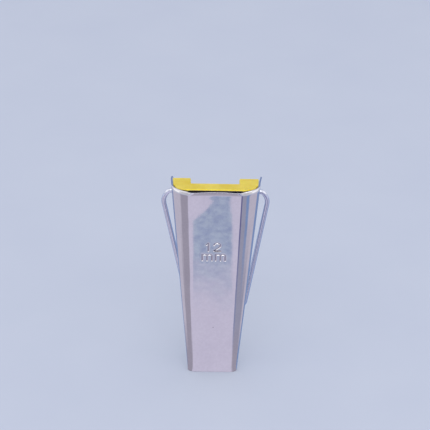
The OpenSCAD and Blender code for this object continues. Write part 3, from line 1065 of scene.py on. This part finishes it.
def reflector():
    """Glowing card just above the floor that only mirrors see, which paints reflections into the metal: the
    surroundings that a bright metal needs.
    It is banded by direction around the tool."""
    n, radius = 96, 1.5
    verts = [(0, 0, 0.00005)]
    for k in range(n):
        a = 2 * math.pi * k / n
        verts.append((radius * math.cos(a), radius * math.sin(a), 0.00005))
    me = bpy.data.meshes.new("mirror_card")
    me.from_pydata(verts, [], [(0, k + 1, (k + 1) % n + 1) for k in range(n)])
    ob = bpy.data.objects.new("mirror_card", me)
    bpy.context.scene.collection.objects.link(ob)
    ob.visible_camera = ob.visible_diffuse = ob.visible_shadow = False
    ob.visible_transmission = ob.visible_volume_scatter = False
    m = bpy.data.materials.new("mirror_card")
    m.use_nodes = True
    nt = m.node_tree
    nt.nodes.clear()
    v = coords(nt)
    pos = add(nt, "ShaderNodeSeparateXYZ", {0: v})
    x, y = pos.outputs[0], pos.outputs[1]
    mid = math_node(nt, "MAXIMUM", math_node(nt, "MINIMUM", x, 0.0055), -0.0055)
    px = math_node(nt, "SUBTRACT", x, mid)
    py = math_node(nt, "MULTIPLY", math_node(nt, "ADD", y, 0.003), -1.0)
    wob = remap(nt, noise(nt, v, 45, 2, 0.5), -0.003, 0.003, 0.3, 0.7)
    turn = math_node(nt, "MULTIPLY", math_node(nt, "ARCTAN2", px, py), 1 / (2 * math.pi))
    turn = math_node(nt, "ADD", math_node(nt, "ADD", turn, 0.5), wob)
    rad = math_node(nt, "SQRT", math_node(nt, "ADD", math_node(nt, "POWER", px, 2.0), math_node(nt, "POWER", py, 2.0)))
    # Eight plain studio tones, in wide bands
    calm, blue, pink, soft = (165, 175, 195), (120, 140, 180), (180, 175, 190), (190, 185, 205)
    warm, slate, dusk, navy = (150, 145, 160), (145, 145, 165), (130, 135, 165), (100, 100, 140)
    far = bands(nt, turn, [
        (-180, calm), (-166, calm), (-146, blue), (-114, blue), (-106, pink), (-50, pink), (-46, warm), (-31, warm),
        (-30, soft), (5, soft), (6, navy), (27, navy), (29, slate), (37, slate), (38, blue), (43, blue),
        (46, pink), (87, pink), (93, blue), (146, blue), (166, calm), (180, calm),
    ], GAIN)
    near = bands(nt, turn, [
        (-180, calm), (-166, calm), (-146, blue), (-120, blue), (-106, pink), (-60, pink), (-54, warm), (-31, warm),
        (-30, soft), (4, soft), (6, dusk), (26, dusk), (30, slate), (58, slate), (66, pink), (84, pink),
        (94, blue), (146, blue), (166, calm), (180, calm),
    ], GAIN)
    close = bands(nt, turn, [
        (-180, calm), (-150, calm), (-125, blue), (-85, warm), (-24, warm), (-20, soft), (8, soft),
        (29, warm), (68, warm), (76, blue), (125, blue), (150, calm), (180, calm),
    ], GAIN)
    c = add(nt, "ShaderNodeMix", {0: remap(nt, rad, 0.0, 1.0, 0.040, 0.090), 6: near, 7: far}, data_type="RGBA").outputs[2]
    c = add(nt, "ShaderNodeMix", {0: remap(nt, rad, 0.0, 1.0, 0.010, 0.028), 6: close, 7: c}, data_type="RGBA").outputs[2]
    # A cooler patch in front, which the flat sole mirrors, with a slanted far edge
    rough_edge = remap(nt, noise(nt, v, 120, 4, 0.6), -0.0022, 0.0022, 0.3, 0.7)
    slant = math_node(nt, "MULTIPLY", math_node(nt, "ADD", y, 0.096), -0.50)
    slant = math_node(nt, "MAXIMUM", slant, 0.0)
    left = math_node(nt, "SUBTRACT", math_node(nt, "ADD", x, 0.0068), slant)
    left = math_node(nt, "ADD", left, math_node(nt, "MULTIPLY", rough_edge, 0.12))
    patch = remap(nt, left, 0.0, 1.0, 0.0, 0.0006)
    patch = math_node(nt, "MULTIPLY", patch, remap(nt, x, 1.0, 0.0, 0.0060, 0.0069))
    fall = math_node(nt, "ADD", y, math_node(nt, "MULTIPLY", rough_edge, 3.0))
    patch = math_node(nt, "MULTIPLY", patch, remap(nt, fall, 1.0, 0.0, -0.078, -0.040))
    patch = math_node(nt, "MULTIPLY", patch, remap(nt, y, 0.0, 1.0, -0.1115, -0.1095))
    mottle = noise(nt, v, 260, 5, 0.7)
    tone = ramp(nt, mottle, [(0.40, tuple(GAIN * k for k in lin(140, 150, 180))), (0.60, tuple(GAIN * k for k in lin(*calm)))])
    c = add(nt, "ShaderNodeMix", {0: patch, 6: c, 7: tone}, data_type="RGBA").outputs[2]
    even = tuple(GAIN * k for k in lin(185, 190, 210))
    c = add(nt, "ShaderNodeMix", {0: remap(nt, rad, 0.0, 1.0, 0.15, 0.30), 6: c, 7: (*even, 1)}, data_type="RGBA").outputs[2]
    # In front of it all, deeper tones for the turned-in edge of the mouth
    edge = [tuple(GAIN * k for k in lin(*rgb)) for rgb in ((165, 160, 175), warm)]
    tones = ramp(nt, remap(nt, y, 1.0, 0.0, -0.165, -0.125), [(0.0, edge[0]), (1.0, edge[1])])
    rim = math_node(nt, "MULTIPLY", remap(nt, y, 1.0, 0.0, -0.118, -0.1125), remap(nt, math_node(nt, "ABSOLUTE", x), 1.0, 0.0, 0.0105, 0.0135))
    rim = math_node(nt, "MULTIPLY", rim, remap(nt, y, 0.0, 1.0, -0.60, -0.40))
    c = add(nt, "ShaderNodeMix", {0: rim, 6: c, 7: tones}, data_type="RGBA").outputs[2]
    em = add(nt, "ShaderNodeEmission", {"Color": c, "Strength": 1.0})
    out = nt.nodes.new("ShaderNodeOutputMaterial")
    nt.links.new(em.outputs[0], out.inputs[0])
    m.cycles.emission_sampling = "NONE"
    me.materials.append(m)
    return ob


GAIN = 1 / 0.76
card = reflector()

area_light("top_softbox", (0.03, -0.05, 0.97), (0, 0, 0.03), (0.5, 0.5), 0.6, (1.0, 0.99, 0.97))
area_light("front_strip", (0.0, -0.70, 0.82), (0, 0, 0.04), (0.80, 0.30), 1.5, (1.0, 0.99, 0.98))
area_light("left_softbox", (-0.78, -0.20, 0.54), (0, 0, 0.04), (1.1, 0.80), 0.8, (1.0, 0.99, 0.98))
area_light("right_softbox", (0.78, -0.20, 0.54), (0, 0, 0.04), (1.1, 0.80), 0.8, (1.0, 0.99, 0.98))

world = bpy.data.worlds.new("studio")
bpy.context.scene.world = world
world.use_nodes = True
wn = world.node_tree
sky = wn.nodes["Background"]
gen = wn.nodes.new("ShaderNodeTexCoord")
way = add(wn, "ShaderNodeSeparateXYZ", {0: gen.outputs["Generated"]})
tint = ramp(wn, remap(wn, way.outputs[1], 0.0, 1.0, -0.5, 0.8), [(0.0, (0.49, 0.49, 0.56)), (0.55, (0.49, 0.49, 0.56)), (1.0, (0.58, 0.62, 0.70))])
# A deeper blue field behind, which the upward edges of the sheet mirror
field = math_node(wn, "MULTIPLY", remap(wn, way.outputs[1], 0.0, 1.0, 0.68, 0.82), remap(wn, way.outputs[2], 0.0, 1.0, 0.20, 0.38))
tint = add(wn, "ShaderNodeMix", {0: field, 6: tint, 7: (0.24, 0.32, 0.56, 1)}, data_type="RGBA").outputs[2]
# A bright tent above and at both sides
across = remap(wn, math_node(wn, "ABSOLUTE", way.outputs[0]), 0.0, 1.0, 0.35, 0.70)
tent = math_node(
    wn, "MAXIMUM", remap(wn, way.outputs[2], 0.0, 1.0, 0.54, 0.70), math_node(wn, "MULTIPLY", across, remap(wn, way.outputs[2], 0.0, 1.0, 0.0, 0.07))
)
tint = add(wn, "ShaderNodeMix", {0: tent, 6: tint, 7: (0.90, 0.89, 0.93, 1)}, data_type="RGBA").outputs[2]
wn.links.new(tint, sky.inputs[0])
sky.inputs[1].default_value = 1.0
bpy.context.scene.view_settings.view_transform = "Standard"


# ---------------------------------------------------------------- camera, at the photograph's own angle
def make_camera():
    a, e, r = math.radians(-0.55), math.radians(30.0), math.radians(1.16)
    d = Vector((math.sin(a) * math.cos(e), -math.cos(a) * math.cos(e), math.sin(e)))
    right = Vector((math.cos(a), math.sin(a), 0))
    up = d.cross(right)
    x = right * math.cos(r) + up * math.sin(r)
    y = -right * math.sin(r) + up * math.cos(r)
    target = Vector((-0.000118, -0.005, 0.0552))
    cam = bpy.data.cameras.new("camera")
    cam.lens, cam.sensor_width = 174.64, 36.0
    cam.clip_start, cam.clip_end = 0.01, 10.0
    ob = bpy.data.objects.new("camera", cam)
    bpy.context.scene.collection.objects.link(ob)
    loc = target + d * 0.6076
    ob.matrix_world = Matrix(
        (
            (x.x, y.x, d.x, loc.x),
            (x.y, y.y, d.y, loc.y),
            (x.z, y.z, d.z, loc.z),
            (0, 0, 0, 1),
        )
    )
    return ob


bpy.context.scene.camera = make_camera()
